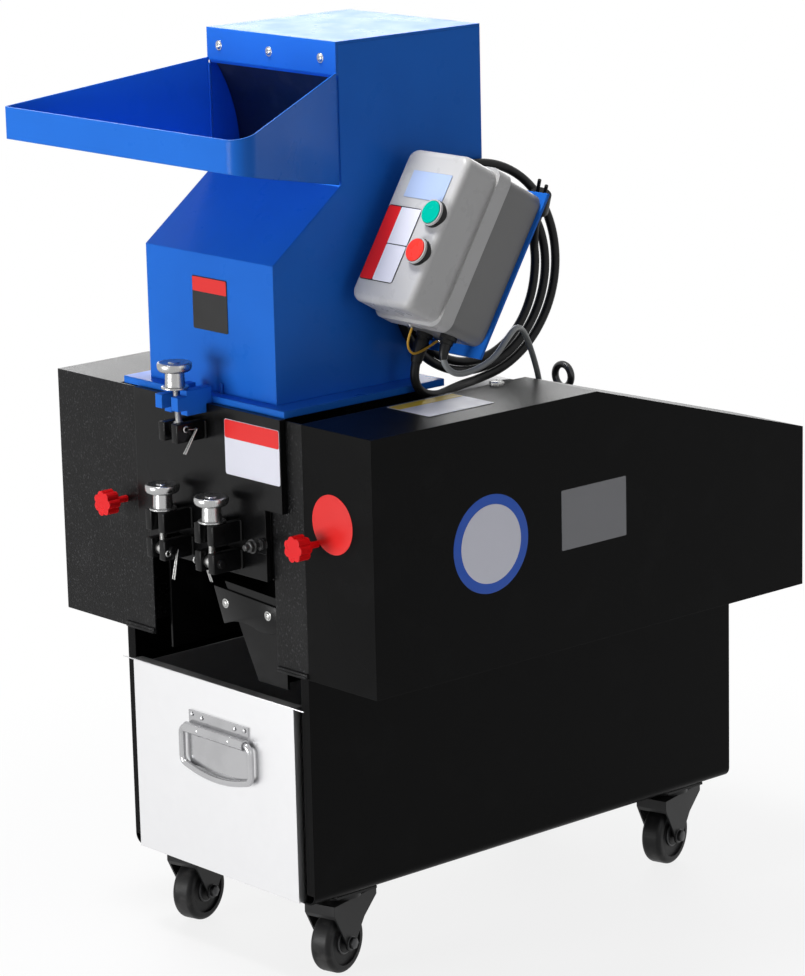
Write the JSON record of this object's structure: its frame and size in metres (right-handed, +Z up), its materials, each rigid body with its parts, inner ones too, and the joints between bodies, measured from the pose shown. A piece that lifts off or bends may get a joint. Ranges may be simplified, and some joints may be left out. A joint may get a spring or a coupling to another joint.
{
  "type": "plastic shredder",
  "caption": "Granulator on casters with a tilting hopper and flared feed scoop, side belt covers, starter box and pull-out waste bin.",
  "frame": {"origin": "on the floor, at the middle of the machine's box", "axes": "+Z up, front with the bin and the feed scoop towards -Y, belt cover and starter towards +X"},
  "size_m": [0.565, 0.7935, 1.0715],
  "materials": {
    "black_textured": "textured powder coat",
    "black_gloss": "semi-gloss black paint",
    "blue_gloss": "gloss blue enamel",
    "rubber_flap": "matt black rubber",
    "chrome": "polished",
    "zinc_steel": "zinc plated",
    "stainless": "brushed",
    "bin_steel": "brushed",
    "caster_black": "black coated",
    "caster_rubber": "matt rubber",
    "grey_cast": "satin grey",
    "green_plastic": "gloss",
    "red_plastic": "gloss",
    "motor_paint": "semi-gloss",
    "black_steel": "blackened",
    "cable_rubber": "matt rubber jacket",
    "lead_grey": "grey jacket"
  },
  "bodies": {
    "machine": {"cabinet_shell": "black_textured", "motor_deck": "black_textured", "cheek_left": "black_textured", "cheek_right": "black_textured", "belt_guard": "black_textured", "flywheel_cover": "black_textured", "chamber_body": "black_gloss", "chamber_front": "black_gloss", "screen_frame": "black_gloss", "discharge_chute": "black_gloss", "pivot_lugs": "black_gloss", "hopper_body": "blue_gloss", "hopper_flange": "blue_gloss", "hopper_lid": "blue_gloss", "feed_scoop": "blue_gloss", "starter_bracket": "blue_gloss", "feed_curtain": "rubber_flap", "clamp_nuts": "chrome", "swing_bolts": "zinc_steel", "caster_plates": "caster_black", "starter_base": "grey_cast", "starter_lid": "grey_cast", "star_knobs": "red_plastic", "motor": "motor_paint", "eye_bolt": "black_steel", "cable_coil": "cable_rubber", "power_cable": "cable_rubber", "mains_plug": "cable_rubber", "cable_glands": "cable_rubber", "motor_lead": "lead_grey"},
    "bin": {"bin_body": "bin_steel", "bin_front": "stainless", "handle_plate": "chrome"},
    "bail": {"handle_bail": "chrome"},
    "start_plunger": {"start_button": "green_plastic"},
    "stop_plunger": {"stop_button": "red_plastic"},
    "swivel_front_left": {"caster_fork_front_left": "caster_black"},
    "wheel_front_left": {"caster_wheel_front_left": "caster_rubber"},
    "swivel_front_right": {"caster_fork_front_right": "caster_black"},
    "wheel_front_right": {"caster_wheel_front_right": "caster_rubber"},
    "swivel_rear_left": {"caster_fork_rear_left": "caster_black"},
    "wheel_rear_left": {"caster_wheel_rear_left": "caster_rubber"},
    "swivel_rear_right": {"caster_fork_rear_right": "caster_black"},
    "wheel_rear_right": {"caster_wheel_rear_right": "caster_rubber"}
  },
  "joints": [
    {"name": "bin_slide", "type": "slide", "parent": "machine", "child": "bin", "axis": [0, -1, 0], "range_m": [0, 0.33]},
    {"name": "bail_hinge", "type": "hinge", "parent": "bin", "child": "bail", "pos_m": [0.012, -0.3045, 0.2753], "axis": [-1, 0, 0], "range_deg": [0, 90]},
    {"name": "start_press", "type": "slide", "parent": "machine", "child": "start_plunger", "axis": [0, 0.8746, -0.4848], "range_m": [0, 0.004], "stiffness_N_per_m": 600},
    {"name": "stop_press", "type": "slide", "parent": "machine", "child": "stop_plunger", "axis": [0, 0.8746, -0.4848], "range_m": [0, 0.004], "stiffness_N_per_m": 600},
    {"name": "swivel_front_left", "type": "hinge", "parent": "machine", "child": "swivel_front_left", "pos_m": [-0.128, -0.22, 0.0955], "axis": [0, 0, 1], "continuous": true},
    {"name": "spin_front_left", "type": "hinge", "parent": "swivel_front_left", "child": "wheel_front_left", "pos_m": [-0.12541, -0.22966, 0.0375], "axis": [0.9659, 0.2588, 0], "continuous": true},
    {"name": "swivel_front_right", "type": "hinge", "parent": "machine", "child": "swivel_front_right", "pos_m": [0.128, -0.22, 0.0955], "axis": [0, 0, 1], "continuous": true},
    {"name": "spin_front_right", "type": "hinge", "parent": "swivel_front_right", "child": "wheel_front_right", "pos_m": [0.13059, -0.22966, 0.0375], "axis": [0.9659, 0.2588, 0], "continuous": true},
    {"name": "swivel_rear_left", "type": "hinge", "parent": "machine", "child": "swivel_rear_left", "pos_m": [-0.128, 0.32, 0.0955], "axis": [0, 0, 1], "continuous": true},
    {"name": "spin_rear_left", "type": "hinge", "parent": "swivel_rear_left", "child": "wheel_rear_left", "pos_m": [-0.12541, 0.31034, 0.0375], "axis": [0.9659, 0.2588, 0], "continuous": true},
    {"name": "swivel_rear_right", "type": "hinge", "parent": "machine", "child": "swivel_rear_right", "pos_m": [0.128, 0.32, 0.0955], "axis": [0, 0, 1], "continuous": true},
    {"name": "spin_rear_right", "type": "hinge", "parent": "swivel_rear_right", "child": "wheel_rear_right", "pos_m": [0.13059, 0.31034, 0.0375], "axis": [0.9659, 0.2588, 0], "continuous": true}
  ]
}
